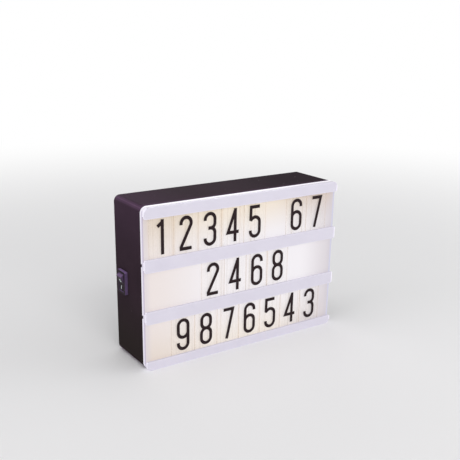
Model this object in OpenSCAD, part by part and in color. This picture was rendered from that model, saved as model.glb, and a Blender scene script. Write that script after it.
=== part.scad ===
// Small cinema light box: a black tray with three rows of clear letter tiles on a lit opal plate.
// Millimetres. X runs along the width, the lit front faces -Y, Z is up.
// The origin is in the base plane, halfway along the width and halfway between rail fronts and back.

/* [Body] */
// Width of the casing, the plate and the rails
body_w = 148; // [136:1:200]
// Depth of the black casing, from its open front edge to its back face
casing_depth = 34.5; // [33:0.5:45]
// Thickness of the casing's side walls
wall = 2.0; // [1.6:0.1:2.6]
// Thickness of the casing's back wall
back_wall = 2.0; // [1.8:0.1:2.6]
// Radius of the four corners, seen from the front
corner_r = 4.0; // [3:0.5:6]

/* [Front plate] */
// Depth of the plate, from its lit face to its back edge at the casing
plate_depth = 3.0; // [2.6:0.1:5]
// Thickness of the lit wall
panel_t = 1.6; // [1.2:0.1:2.0]
// Open line between the plate's back edge and the casing
reveal = 0.3; // [0.1:0.05:0.6]
// Length of the collar that plugs into the casing
collar_l = 3.0; // [2:0.5:6]
// Thickness of the collar
collar_t = 1.4; // [1:0.1:2]
// Clearance between the collar and the casing's walls
collar_gap = 0.2; // [0.1:0.05:0.4]
// Height of the casing's tabs that key into the sides of the plate's rim
tab_h = 1.8; // [1.2:0.1:2.4]
// How far a tab reaches into the rim
tab_l = 1.4; // [1:0.1:1.6]
// Clearance between a tab and its notch
tab_gap = 0.15; // [0.1:0.05:0.3]

/* [Rails] */
// Height of the bottom rail
rail_bottom_h = 6.0; // [5:0.1:10]
// Height of the two rails between the rows
rail_mid_h = 8.3; // [6:0.1:12]
// Height of the top rail
rail_top_h = 7.0; // [6:0.1:12]
// Height of the window that shows between two rails
window_h = 24.8; // [22:0.2:32]
// How far a rail's lip reaches over the tiles' edge
lip = 1.5; // [1:0.1:2]
// Depth of the channel that the tiles slide in
channel_d = 1.2; // [0.9:0.1:2]
// Thickness of a rail's face in front of the channel
cap_t = 1.3; // [1:0.1:2]
// Radius of the rails' corners at their ends
rail_end_r = 1.0; // [0.5:0.1:2]
// Number of pins on each rail
pin_count = 4; // [2:1:6]
// Distance between two pins
pin_pitch = 40; // [20:1:44]
// Diameter of a pin
pin_d = 1.6; // [1.2:0.1:2]
// Clearance all round a pin in the plate
pin_fit = 0.04; // [0.02:0.01:0.1]
// Length of the blind pins on the bottom and the top rail
blind_pin_l = 2.0; // [1.4:0.1:2.2]
// Diameter of the heads that are melted onto the middle rails' pins
stake_d = 2.8; // [2.4:0.1:3.6]
// Thickness of those heads
stake_t = 0.6; // [0.4:0.1:1]

/* [Tiles] */
// Width of a letter tile
tile_w = 17.0; // [14:0.1:17.6]
// Thickness of a letter tile
tile_t = 0.4; // [0.2:0.05:0.6]
// Distance between neighbouring tiles
tile_gap = 0.1; // [0.05:0.05:0.3]
// Clearance between a tile's foot and the rail it stands on
tile_foot_gap = 0.1; // [0.05:0.05:0.2]
// Clearance between a tile's head and the rail above it
tile_head_gap = 0.3; // [0.2:0.05:0.6]
// Clearance between a tile's face and the lips in front of it
tile_face_gap = 0.15; // [0.1:0.05:0.3]
// Tiles in the top row's left word
top_left_count = 5; // [1:1:5]
// Tiles in the top row's right word
top_right_count = 2; // [1:1:2]
// Tiles in the middle row
middle_count = 4; // [1:1:5]
// Tiles in the bottom row
bottom_count = 7; // [1:1:7]
// Distance from the rails' left end to the top row's first tile
top_start = 3.5; // [0:0.1:4]
// Space between the two words in the top row
word_gap = 16.9; // [2:0.1:17]
// Distance from the rails' left end to the middle row's first tile
middle_start = 40.2; // [0:0.1:44]
// Distance from the rails' left end to the bottom row's first tile
bottom_start = 18.1; // [0:0.1:19]

/* [Battery bay] */
// Height of the middle of the bay above the base
bay_z = 46; // [42:1:50]
// Diameter of a cell
cell_d = 10.5; // [9.5:0.1:10.8]
// Length of a cell with its nub
cell_l = 44.5; // [42:0.5:46]
// Diameter of the nub
nub_d = 3.8; // [3:0.1:4.5]
// Height of the nub
nub_h = 0.9; // [0.6:0.1:1.4]
// Number of cells
cell_count = 3; // [3:1:3]
// Distance between neighbouring cells
cell_gap = 0.5; // [0.2:0.1:1]
// Clearance between the cells and the bay around them
cell_fit = 0.3; // [0.1:0.1:0.6]
// Length of a contact spring as it is pressed in
spring_l = 5.1; // [4:0.1:6]
// Diameter of a contact spring
spring_d = 6.4; // [5:0.1:8]
// Thickness of the contact plates
contact_t = 0.4; // [0.3:0.05:0.6]
// Width and height of a contact plate
contact_w = 8; // [6:0.5:9]
// Thickness of the bay's side walls
bay_wall = 2.4; // [2:0.1:3]
// Thickness of the bay's floor
bay_floor = 1.6; // [1.2:0.1:2]
// Width and height of the solder tags
tag_w = 2.0; // [1.5:0.1:3]
// How far a solder tag stands out of the bay's wall
tag_l = 1.6; // [1:0.1:3]

/* [Battery door] */
// Thickness of the door
door_t = 1.6; // [1.2:0.1:1.8]
// Clearance all round the door
door_gap = 0.3; // [0.2:0.05:0.5]
// Clearance between the door and the ledge it closes on
ledge_gap = 0.1; // [0.05:0.05:0.2]
// Width of that ledge
ledge = 1.4; // [1:0.1:1.6]
// Width of a hook at the door's lower edge
hook_w = 8; // [5:0.5:12]
// Distance between the two hooks
hook_pitch = 30; // [20:1:34]
// Thickness of a hook
hook_t = 1.4; // [1:0.1:1.8]
// How far a hook reaches below the door
hook_reach = 1.8; // [1.2:0.1:2.4]
// Clearance between a hook and the back wall that it holds on to
hook_gap = 0.2; // [0.1:0.05:0.3]
// Width of the springy tongue at the door's upper edge
tongue_w = 11; // [8:0.5:16]
// Length of the tongue
tongue_l = 8; // [6:0.5:12]
// Width of the slots beside the tongue
tongue_slot = 0.8; // [0.5:0.1:1.2]
// Height of the catch on the tongue's edge
catch_h = 0.25; // [0.1:0.05:0.28]
// Radius of the fingernail notch above the door
nail_r = 3.0; // [2:0.5:4]
// Width of the arrow that is sunk into the door below the tongue
arrow_w = 6; // [4:0.5:8]
// Height of the arrow
arrow_h = 5; // [3:0.5:6]
// Depth of the arrow
arrow_depth = 0.3; // [0.2:0.05:0.5]

/* [Switch] */
// Height of the switch's middle above the base
switch_z = 50.5; // [46:0.5:56]
// Distance from the casing's open front edge back to the switch's middle
switch_back = 23.75; // [22:0.25:25]
// Depth of the switch's frame, measured along the casing's side
bezel_w = 10.5; // [10:0.1:12]
// Height of the switch's frame
bezel_h = 15; // [14.5:0.1:17]
// How far the frame stands out of the casing
bezel_t = 2.0; // [1.5:0.1:2.5]
// Width of the switch's body
switch_w = 8.6; // [8.4:0.1:9.2]
// Height of the switch's body
switch_h = 13.3; // [13.2:0.1:14]
// Length of the switch's body inside the casing's face
switch_l = 14; // [13.5:0.5:16]
// Clearance between the switch's body and its cut-out
switch_fit = 0.1; // [0.05:0.05:0.2]
// Width of the rocker
rocker_w = 6.4; // [5.6:0.1:6.6]
// Clearance between the rocker and its frame
rocker_fit = 0.15; // [0.1:0.05:0.2]
// Length of each half of the rocker's face
rocker_half = 4.9; // [4.5:0.1:5]
// Tilt of the rocker to each side
rocker_tilt = 11; // [8:0.5:12]
// Depth of the rocker's pivot below the casing's face
pivot_depth = 0.5; // [0.3:0.1:0.8]
// Depth of the pressed half of the rocker below the frame's face
pressed_depth = 0.1; // [0:0.05:0.3]
// Diameter of the rocker's pivot pins
pivot_d = 2.0; // [1.6:0.1:2.4]
// Running clearance all round the pivot pins
pivot_fit = 0.05; // [0.02:0.01:0.08]
// Reach of the moving contact below the rocker's stem
contact_arm = 4.0; // [3.6:0.1:4.4]
// Thickness of the moving contact and the terminals
blade_t = 0.5; // [0.4:0.05:0.6]
// Width of the moving contact and the terminals
blade_w = 3.2; // [2.5:0.1:4]
// How far the terminals stand out behind the switch
terminal_l = 5; // [4:0.5:6]

/* [Lighting] */
// Height of the middle of the light board above the base
board_z = 52; // [48:1:56]
// Distance from the switch's blades to the wires' holes in the board
wire_reach = 4.2; // [3:0.1:6]
// How far the board runs past the wires' holes
board_margin = 1.2; // [1:0.1:4]
// Height of the light board
board_h = 9; // [8:0.5:14]
// Thickness of the light board
board_t = 1.2; // [0.8:0.1:1.6]
// Number of lights on the board
led_count = 6; // [2:2:6]
// Distance from the board's posts in to the middle of the outer lights
led_inset = 8.5; // [5.5:0.5:12]
// Width and height of one light
led_w = 5; // [3:0.5:5]
// Thickness of one light
led_t = 1.6; // [0.8:0.1:2]
// Thickness of the white reflector sheet
reflector_t = 0.6; // [0.3:0.1:1]
// Distance from the casing's outside to the sheet's edge
reflector_inset = 5; // [4:0.5:8]
// Diameter of the wires over their cover
wire_d = 1.3; // [1:0.1:1.6]

/* [Fixings] */
// Distance of the casing's screws from the sides, the top and the base
screw_inset = 8; // [7.8:0.1:12]
// Diameter of the casing's screws
screw_d = 2.6; // [2:0.1:3]
// Length of the casing's screws under the head
screw_l = 8; // [6:0.5:10]
// Diameter of the screw heads
screw_head_d = 5.0; // [4:0.1:5.2]
// Thickness of the screw heads
screw_head_t = 1.8; // [1.2:0.1:2.4]
// Outer diameter of the screw tubes on the casing
tube_d = 7.5; // [7:0.1:8]
// Diameter of the recess inside the screw tubes
recess_d = 5.6; // [5.4:0.1:6]
// Distance from the casing's open front edge to the end of the screw tubes
tube_back = 10.5; // [8:0.5:12]
// Thickness of the tubes' floor under the screw heads
tube_floor = 2.0; // [1.5:0.1:3]
// Diameter of the bosses on the plate
boss_d = 6.0; // [5:0.1:7]
// Distance from the wires' holes in to the posts that carry the light board
post_inset = 4.8; // [4.2:0.1:6]
// Diameter of those posts
post_d = 5.0; // [4:0.1:5.4]
// Diameter of the board's screws
board_screw_d = 2.0; // [1.6:0.1:2.4]
// Length of the board's screws under the head
board_screw_l = 7; // [5:0.5:9]
// Clearance all round a screw in its hole
screw_fit = 0.02; // [0.01:0.01:0.05]

/* [Wall hanging] */
// Distance between the two keyholes
keyhole_pitch = 80; // [60:1:90]
// Height of the keyholes' wide part above the base
keyhole_z = 84; // [78:1:88]
// Diameter of the keyholes' wide part
keyhole_d = 8; // [7:0.1:9]
// Width of the keyholes' narrow part
keyslot_w = 4; // [3:0.1:5]
// Distance from the wide part's middle to the narrow part's end
keyslot_rise = 6; // [5:0.5:7]

/* [Hidden] */
$fn = 48;
// Cuts run this far past a face
over = 0.5;
// Inner corners never get sharper than this radius
least_r = 0.8;
row_pitch = window_h + rail_mid_h;
body_h = rail_bottom_h + 3 * window_h + 2 * rail_mid_h + rail_top_h;
depth = casing_depth + plate_depth + channel_d + cap_t;
// Planes from front to back
y_front = -depth / 2;
y_cap = y_front + cap_t;
y_plate = y_cap + channel_d;
y_seam = y_plate + plate_depth;
y_back = depth / 2;
y_inner = y_back - back_wall;
y_panel = y_plate + panel_t;
// The border of the plate carries the collar inside the casing's walls
border = wall + collar_gap + collar_t;
// Solid plastic between a screw's hole and the plate
boss_skin = 1;
// Battery bay
bay_l = cell_l + spring_l + 2 * contact_t;
bay_h = cell_count * cell_d + (cell_count - 1) * cell_gap + 2 * cell_fit;
y_ledge = y_back - door_t - ledge_gap;
y_cell = y_ledge - cell_fit - cell_d / 2;
y_bay = y_cell - cell_d / 2 - ledge_gap;
y_stack = y_bay - bay_floor;
door_w = bay_l + 2 * ledge;
door_h = bay_h + 2 * ledge;
door_foot = bay_z - door_h / 2;
door_head = bay_z + door_h / 2;
// Room in front of the hooks in their notches
hook_room = 1;
// The catch is on the inner half of the tongue's edge, with play in its groove
catch_t = door_t * 0.4;
catch_y = y_back - door_t / 2 - catch_t;
catch_play = 0.15;
nail_depth = door_t * 0.75;
// Grooves that give the finger a hold on the tongue
grip_count = 3;
grip_pitch = 1.6;
grip_w = 0.7;
grip_depth = door_t / 4;
// Clearance all round a metal strip in its slot
slot_fit = 0.05;
// The solder tags stand in the plane of the switch's blades
tag_y = y_seam + switch_back;
tag_end = bay_l / 2 + bay_wall + tag_l;
// Light board in front of the sheet, the sheet in front of the bay's floor
y_sheet = y_stack - reflector_t;
y_board = y_sheet - board_t;
// Switch
switch_y = y_seam + switch_back;
x_side = -body_w / 2;
pivot_x = x_side + pivot_depth;
valley = (pivot_depth + bezel_t - pressed_depth) / cos(rocker_tilt);
rocker_r = norm([valley + rocker_half * sin(rocker_tilt), rocker_half * cos(rocker_tilt)]);
rocker_stem = 6.2;
rocker_skirt = 2;
rocker_toe = 1.2;
skirt_inset = 1;
frame_h = 2 * (rocker_r + rocker_fit);
frame_w = rocker_w + 2 * rocker_fit;
// Where the moving contact's back meets the two terminals while the switch is on
contact_back = rocker_stem + blade_t;
contact_touch = 0.05;
saddle_x = pivot_x + contact_back / cos(rocker_tilt) + contact_touch;
reed_x = pivot_x + contact_back * cos(rocker_tilt) + contact_arm * sin(rocker_tilt) + contact_touch;
reed_z = switch_z + contact_back * sin(rocker_tilt) - contact_arm * cos(rocker_tilt);
blade_end = x_side + switch_l + terminal_l;
switch_back_t = 2;
bezel_r = 0.8;
// Barbs on the switch's body
barb = 0.5;
barb_w = 4;
barb_l = 3;
// Wires
wire_x = blade_end + wire_reach;
board_l = 2 * (board_margin - wire_x);
post_pitch = -2 * (wire_x + post_inset);
led_pitch = (post_pitch - 2 * led_inset) / (led_count - 1);
board_hole_d = board_screw_d + 0.4;
board_head_d = board_screw_d * 1.8;
board_head_t = board_screw_d * 0.65;
resistor_l = 3.2;
resistor_w = 1.6;
resistor_t = 0.6;
// A wire leaves its tag by this much before it turns
wire_turn = 3;
black_y = tag_y + 3.5;
// Heights at which the wires come through the board
plus_z = board_z - board_h / 2 + wire_d + 1;
minus_z = plus_z + 4 * wire_d;
red_rise = bay_z + bay_h / 2 + bay_wall + 5;
solder = 0.4;
wire_fit = 0.15;
wire_sides = 16;

top_tiles = [for (i = [1:top_left_count + top_right_count]) str("tile_top_", i)];
middle_tiles = [for (i = [1:middle_count]) str("tile_middle_", i)];
bottom_tiles = [for (i = [1:bottom_count]) str("tile_bottom_", i)];
cells = [for (i = [1:cell_count]) str("battery_", i)];

function window_z(row) = rail_bottom_h + row * row_pitch;
function cell_z(i) = bay_z + ((cell_count + 1) / 2 - i) * (cell_d + cell_gap);
// Odd cells have their nub to the right, even ones to the left
function nub_side(i) = i % 2 == 1 ? 1 : -1;

// ---- helpers -------------------------------------------------------------------------------

// Extrudes a shape drawn in X and Z from y0 back to y1
module along_y(y0, y1) {
    translate([0, y1, 0]) rotate([90, 0, 0]) linear_extrude(y1 - y0) children();
}

// Extrudes a shape drawn in Y and Z from x0 to x1
module along_x(x0, x1) {
    translate([x0, 0, 0]) rotate([90, 0, 90]) linear_extrude(x1 - x0) children();
}

// A box from one corner to the opposite one
module block(a, b) {
    translate(a) cube(b - a);
}

// A round bar along Y at one place in X and Z
module rod_y(x, z, d, y0, y1) {
    translate([x, y1, z]) rotate([90, 0, 0]) cylinder(h = y1 - y0, d = d);
}

module rounded(w, h, r) {
    square([w - 2 * r, h], center = true);
    square([w, h - 2 * r], center = true);
    for (x = [-1, 1], y = [-1, 1])
        translate([x * (w / 2 - r), y * (h / 2 - r)]) circle(r);
}

// The body's outline seen from the front, drawn in by an inset
module outline(inset = 0) {
    translate([0, body_h / 2])
        rounded(body_w - 2 * inset, body_h - 2 * inset, max(corner_r - inset, least_r));
}

module at_screws() {
    for (x = [-1, 1], z = [screw_inset, body_h - screw_inset])
        translate([x * (body_w / 2 - screw_inset), 0, z]) children();
}

module at_posts() {
    for (x = [-1, 1]) translate([x * post_pitch / 2, 0, board_z]) children();
}

// The seam at both side walls, at the height of the two middle rails
module at_tabs() {
    for (x = [-1, 1], row = [1, 2])
        translate([x * (body_w - wall) / 2, y_seam, mid_pin_z(row)]) children();
}

// ---- casing --------------------------------------------------------------------------------

module keyholes() {
    for (x = [-1, 1]) translate([x * keyhole_pitch / 2, 0, keyhole_z]) {
        rod_y(0, 0, keyhole_d, y_inner - over, y_back + over);
        rod_y(0, keyslot_rise, keyslot_w, y_inner - over, y_back + over);
        block([-keyslot_w / 2, y_inner - over, 0], [keyslot_w / 2, y_back + over, keyslot_rise]);
    }
}

// The bay's inside, the door's opening, the hooks' notches and the catch's groove
module bay_cuts() {
    block([-bay_l / 2, y_bay, bay_z - bay_h / 2], [bay_l / 2, y_back + over, bay_z + bay_h / 2]);
    block([-door_w / 2 - door_gap, y_ledge, door_foot - door_gap],
          [door_w / 2 + door_gap, y_back + over, door_head + door_gap]);
    for (x = [-1, 1]) {
        block([x * hook_pitch / 2 - hook_w / 2 - door_gap, y_inner - hook_gap - hook_t - hook_room,
               door_foot - hook_reach - over],
              [x * hook_pitch / 2 + hook_w / 2 + door_gap, y_inner, bay_z - bay_h / 2 + over]);
        block([x * hook_pitch / 2 - hook_w / 2 - door_gap, y_inner - over, door_foot - door_gap],
              [x * hook_pitch / 2 + hook_w / 2 + door_gap, y_ledge + over, bay_z - bay_h / 2 + over]);
    }
    block([-tongue_w / 2, y_ledge, door_head],
          [tongue_w / 2, catch_y + catch_t + catch_play, door_head + 2 * door_gap]);
    rod_y(0, door_head + door_gap, 2 * nail_r, y_back - nail_depth, y_back + over);
    tag_slot(1, 1);
    tag_slot(-1, cell_count);
}

// The slot that lets a solder tag out of the bay, on the side given by -1 or 1
module tag_slot(side, i) {
    translate([side * (bay_l / 2 + bay_wall / 2), tag_y, cell_z(i)])
        cube([bay_wall + 2 * over, tag_w + 2 * slot_fit, contact_t + 2 * slot_fit], center = true);
}

module rear_casing() {
    color("#2c272b") difference() {
        union() {
            difference() {
                along_y(y_seam, y_back) outline();
                along_y(y_seam - over, y_inner) outline(wall);
            }
            at_tabs() block([-wall / 2, -tab_l, -tab_h / 2], [wall / 2, wall, tab_h / 2]);
            at_screws() rod_y(0, 0, tube_d, y_seam + tube_back, y_back - back_wall / 2);
            at_posts() rod_y(0, 0, post_d, y_stack, y_back - back_wall / 2);
            block([-bay_l / 2 - bay_wall, y_stack, bay_z - bay_h / 2 - bay_wall],
                  [bay_l / 2 + bay_wall, y_back - back_wall / 2, bay_z + bay_h / 2 + bay_wall]);
        }
        at_screws() {
            rod_y(0, 0, recess_d, y_seam + tube_back + tube_floor, y_back + over);
            rod_y(0, 0, screw_d + 2 * screw_fit, y_seam + tube_back - over, y_back);
        }
        at_posts()
            rod_y(0, 0, board_screw_d + 2 * screw_fit, y_stack - over, y_board + board_screw_l + over);
        bay_cuts();
        keyholes();
        translate([x_side + wall / 2, switch_y, switch_z])
            cube([wall + 2 * over, switch_w + 2 * switch_fit, switch_h + 2 * switch_fit], center = true);
    }
}

// ---- front plate and rails -----------------------------------------------------------------

function pin_x(i) = (i - (pin_count + 1) / 2) * pin_pitch;
top_pin_z = body_h - border / 2;
bottom_pin_z = border / 2;
function mid_pin_z(row) = window_z(row) - rail_mid_h / 2;

module pin_row(z, d, y0, y1) {
    for (i = [1:pin_count]) rod_y(pin_x(i), z, d, y0, y1);
}

module front_plate() {
    color("#f6f2ea") difference() {
        union() {
            along_y(y_plate, y_panel) outline();
            difference() {
                along_y(y_panel - panel_t / 2, y_seam - reveal) outline();
                along_y(y_panel - panel_t / 2, y_seam) outline(border);
            }
            difference() {
                along_y(y_seam - reveal - over, y_seam + collar_l) outline(wall + collar_gap);
                along_y(y_plate + panel_t / 2, y_seam + collar_l + over) outline(border);
            }
            at_screws() rod_y(0, 0, boss_d, y_panel - panel_t / 2, y_seam + tube_back);
        }
        at_screws() rod_y(0, 0, screw_d + 2 * screw_fit, y_panel + boss_skin, y_seam + tube_back + over);
        at_tabs() block([-wall / 2 - collar_gap, -tab_l - tab_gap, -tab_h / 2 - tab_gap],
                        [wall / 2 + collar_gap, -reveal + over, tab_h / 2 + tab_gap]);
        for (row = [1, 2])
            pin_row(mid_pin_z(row), pin_d + 2 * pin_fit, y_plate - over, y_panel + over);
        for (z = [bottom_pin_z, top_pin_z])
            pin_row(z, pin_d + 2 * pin_fit, y_plate - over, y_plate + blind_pin_l + pin_fit);
    }
}

// A rail's face from z0 up to z1, with a web that leaves a channel under each lip
module rail_face(z0, z1, web0, web1) {
    along_y(y_front, y_cap)
        translate([0, (z0 + z1) / 2]) rounded(body_w, z1 - z0, rail_end_r);
    block([-body_w / 2, y_cap - cap_t / 2, web0], [body_w / 2, y_plate, web1]);
}

module middle_rail(row) {
    z1 = window_z(row);
    z0 = z1 - rail_mid_h;
    color("#dfdbe8") union() {
        rail_face(z0, z1, z0 + lip, z1 - lip);
        pin_row(mid_pin_z(row), pin_d, y_plate - channel_d / 2, y_panel + stake_t);
        pin_row(mid_pin_z(row), stake_d, y_panel, y_panel + stake_t);
    }
}

module rail_upper() {
    middle_rail(2);
}

module rail_lower() {
    middle_rail(1);
}

module rail_bottom() {
    color("#dfdbe8") union() {
        intersection() {
            rail_face(0, rail_bottom_h, 0, rail_bottom_h - lip);
            along_y(y_front - over, y_plate) outline();
        }
        pin_row(bottom_pin_z, pin_d, y_plate - channel_d / 2, y_plate + blind_pin_l);
    }
}

module rail_top() {
    color("#dfdbe8") union() {
        intersection() {
            rail_face(body_h - rail_top_h, body_h, body_h - rail_top_h + lip, body_h);
            along_y(y_front - over, y_plate) outline();
        }
        pin_row(top_pin_z, pin_d, y_plate - channel_d / 2, y_plate + blind_pin_l);
    }
}

// ---- letter tiles --------------------------------------------------------------------------

tile_h = window_h + 2 * lip - tile_foot_gap - tile_head_gap;

// A clear tile in a row, i places along from its word's start
module tile(row, start, i) {
    x = -body_w / 2 + start + (i - 1) * (tile_w + tile_gap);
    z = window_z(row) - lip + tile_foot_gap;
    color([0.93, 0.92, 0.88, 0.5])
        block([x, y_cap + tile_face_gap, z], [x + tile_w, y_cap + tile_face_gap + tile_t, z + tile_h]);
}

module top_tile(i) {
    space = i > top_left_count ? word_gap - tile_gap : 0;
    tile(2, top_start + space, i);
}

// ---- battery bay ---------------------------------------------------------------------------

module battery_door() {
    color("#2c272b") difference() {
        union() {
            block([-door_w / 2, y_back - door_t, door_foot], [door_w / 2, y_back, door_head]);
            for (x = [-1, 1]) {
                block([x * hook_pitch / 2 - hook_w / 2, y_inner - hook_gap - hook_t,
                       door_foot - hook_reach],
                      [x * hook_pitch / 2 + hook_w / 2, y_inner - hook_gap, door_foot + ledge]);
                block([x * hook_pitch / 2 - hook_w / 2, y_inner - hook_gap - hook_t / 2, door_foot],
                      [x * hook_pitch / 2 + hook_w / 2, y_back - door_t / 2, door_foot + ledge]);
            }
            for (x = [-1, 1])
                translate([x * (nail_r + tongue_w / 2 - tongue_slot) / 2, catch_y + catch_t / 2, door_head])
                    cube([tongue_w / 2 - tongue_slot - nail_r, catch_t, 2 * catch_h], center = true);
        }
        for (x = [-1, 1])
            translate([x * (tongue_w + tongue_slot) / 2 - tongue_slot / 2, y_back - door_t - over,
                       door_head - tongue_l])
                cube([tongue_slot, door_t + 2 * over, tongue_l + over]);
        // The arrow points down, the way the tongue is pressed
        along_y(y_back - arrow_depth, y_back + over)
            translate([0, door_head - tongue_l - arrow_h / 2])
                polygon([[-arrow_w / 2, 0], [arrow_w / 2, 0], [0, -arrow_h]]);
        for (i = [1:grip_count])
            translate([-tongue_w / 4, y_back - grip_depth, door_head - tongue_l + grip_pitch * i])
                cube([tongue_w / 2, grip_depth + over, grip_w]);
    }
}

module battery(i) {
    side = nub_side(i);
    far = bay_l / 2 - contact_t;
    color("#3f6f4a") translate([side * far, y_cell, cell_z(i)]) rotate([0, -90 * side, 0]) {
        cylinder(h = nub_h + over, d = nub_d);
        translate([0, 0, nub_h]) cylinder(h = cell_l - nub_h, d = cell_d);
    }
}

// Springs stand on the plates at the cells' flat ends
module contact_springs() {
    color("#c9c9cc") for (i = [1:cell_count])
        translate([-nub_side(i) * (bay_l / 2 - contact_t), y_cell, cell_z(i)])
            rotate([0, 90 * nub_side(i), 0]) cylinder(h = spring_l, d = spring_d);
}

// A plate on one end wall of the bay that covers cells i to j
module contact_plate(side, i, j) {
    x = side * (bay_l / 2 - contact_t / 2);
    translate([x, y_cell, (cell_z(i) + cell_z(j)) / 2])
        cube([contact_t, contact_w, cell_z(i) - cell_z(j) + contact_w], center = true);
}

// A solder tag that leads from a plate out through the bay's wall
module contact_tag(side, i) {
    l = contact_t + bay_wall + tag_l;
    translate([side * (bay_l / 2 - contact_t + l / 2), tag_y, cell_z(i)])
        cube([l, tag_w, contact_t], center = true);
}

module contact_plates() {
    color("#d2d0c8") union() {
        contact_plate(1, 1, 1);
        contact_tag(1, 1);
        contact_plate(-1, 1, 2);
        contact_plate(1, 2, 3);
        contact_plate(-1, 3, 3);
        contact_tag(-1, 3);
    }
}

// ---- switch --------------------------------------------------------------------------------

// A slot for a blade that lies along X, its middle at the origin's height
module blade_slot(l) {
    translate([0, -blade_w / 2 - slot_fit, -blade_t / 2 - slot_fit])
        cube([l, blade_w + 2 * slot_fit, blade_t + 2 * slot_fit]);
}

module switch_housing() {
    x_end = x_side + switch_l;
    color("#2a2528") difference() {
        union() {
            along_x(x_side - bezel_t, x_side)
                translate([switch_y, switch_z]) rounded(bezel_w, bezel_h, bezel_r);
            translate([x_side - bezel_t / 2, switch_y - switch_w / 2, switch_z - switch_h / 2])
                cube([switch_l + bezel_t / 2, switch_w, switch_h]);
            // Barbs that snap behind the casing's wall
            for (s = [-1, 1])
                along_y(switch_y - barb_w / 2, switch_y + barb_w / 2) polygon([
                    [x_side + wall + switch_fit, switch_z + s * (switch_h / 2 - over)],
                    [x_side + wall + switch_fit, switch_z + s * (switch_h / 2 + barb)],
                    [x_side + wall + switch_fit + barb_l, switch_z + s * switch_h / 2],
                    [x_side + wall + switch_fit + barb_l, switch_z + s * (switch_h / 2 - over)]]);
        }
        translate([x_side - bezel_t - over, switch_y - frame_w / 2, switch_z - frame_h / 2])
            cube([switch_l + bezel_t + over - switch_back_t, frame_w, frame_h]);
        rod_y(pivot_x, switch_z, pivot_d + 2 * pivot_fit,
              switch_y - switch_w / 2 - switch_fit, switch_y + switch_w / 2 + switch_fit);
        for (z = [switch_z, reed_z])
            translate([x_end - switch_back_t - over, switch_y, z])
                blade_slot(switch_back_t + 2 * over);
    }
}

// The rocker at its middle position, pivot at the origin, its face towards -X
module rocker_shape() {
    intersection() {
        along_y(-rocker_w / 2, rocker_w / 2) polygon([
            [-valley, 0],
            [-valley - rocker_half * sin(rocker_tilt), rocker_half * cos(rocker_tilt)],
            [-valley - rocker_half * sin(rocker_tilt), rocker_r + over],
            [0, rocker_r + over],
            [rocker_skirt, rocker_r - skirt_inset],
            [rocker_stem, rocker_toe],
            [rocker_stem, -rocker_toe],
            [rocker_skirt, -rocker_r + skirt_inset],
            [0, -rocker_r - over],
            [-valley - rocker_half * sin(rocker_tilt), -rocker_r - over],
            [-valley - rocker_half * sin(rocker_tilt), -rocker_half * cos(rocker_tilt)]]);
        rod_y(0, 0, 2 * rocker_r, -rocker_w, rocker_w);
    }
    rod_y(0, 0, pivot_d, -switch_w / 2, switch_w / 2);
}

// Switched on: the lower half is pressed in and the upper half stands out
module switch_rocker() {
    color("#1d1a1c") translate([pivot_x, switch_y, switch_z]) rotate([0, -rocker_tilt, 0]) rocker_shape();
}

// The moving contact crosses the end of the rocker's stem and tilts with it
module switch_contact() {
    color("#c98f52") translate([pivot_x, switch_y, switch_z]) rotate([0, -rocker_tilt, 0])
        block([rocker_stem, -blade_w / 2, -contact_arm], [contact_back, blade_w / 2, rocker_toe]);
}

module switch_terminals() {
    color("#d8c27a") {
        block([saddle_x, switch_y - blade_w / 2, switch_z - blade_t / 2],
              [blade_end, switch_y + blade_w / 2, switch_z + blade_t / 2]);
        block([reed_x, switch_y - blade_w / 2, reed_z - blade_t / 2],
              [blade_end, switch_y + blade_w / 2, reed_z + blade_t / 2]);
    }
}

// ---- lighting ------------------------------------------------------------------------------

function led_x(i) = (i - (led_count + 1) / 2) * led_pitch;

// Places where the wires come through the sheet and the board
module wire_holes(y0, y1) {
    for (z = [plus_z, minus_z]) rod_y(wire_x, z, wire_d + 2 * wire_fit, y0, y1);
}

module led_board() {
    color("#f1f1ec") difference() {
        block([-board_l / 2, y_board, board_z - board_h / 2], [board_l / 2, y_sheet, board_z + board_h / 2]);
        at_posts() rod_y(0, 0, board_hole_d, y_board - over, y_sheet + over);
        wire_holes(y_board - over, y_sheet + over);
    }
}

module leds() {
    color("#f5e6a8") for (i = [1:led_count])
        translate([led_x(i), y_board - led_t / 2, board_z]) cube([led_w, led_t, led_w], center = true);
}

module resistors() {
    color("#26262a") for (i = [1:2:led_count - 1])
        translate([(led_x(i) + led_x(i + 1)) / 2, y_board - resistor_t / 2, board_z])
            cube([resistor_l, resistor_t, resistor_w], center = true);
}

module reflector() {
    sheet_gap = 0.4;
    color("#fbfaf6") difference() {
        along_y(y_sheet, y_stack) translate([0, body_h / 2])
            square([body_w - 2 * reflector_inset, body_h - 2 * reflector_inset], center = true);
        // Square notches let the screw tubes pass the corners
        at_screws() translate([0, (y_sheet + y_stack) / 2, 0])
            cube([tube_d + 2 * sheet_gap, reflector_t + 2 * over, tube_d + 2 * sheet_gap], center = true);
        at_posts() rod_y(0, 0, board_hole_d, y_sheet - over, y_stack + over);
        wire_holes(y_sheet - over, y_stack + over);
        block([x_side, y_sheet - over, switch_z - switch_h / 2 - barb - sheet_gap],
              [x_side + switch_l + sheet_gap, y_stack + over, switch_z + switch_h / 2 + barb + sheet_gap]);
    }
}

// ---- wires ---------------------------------------------------------------------------------

// A round wire with a ball at each bend
module wire(route) {
    for (i = [0:len(route) - 2]) {
        step = route[i + 1] - route[i];
        reach = norm(step);
        translate(route[i]) rotate([0, acos(step[2] / reach), atan2(step[1], step[0])])
            cylinder(h = reach, d = wire_d, $fn = wire_sides);
        if (i > 0) translate(route[i]) sphere(d = wire_d, $fn = wire_sides);
    }
}

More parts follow.
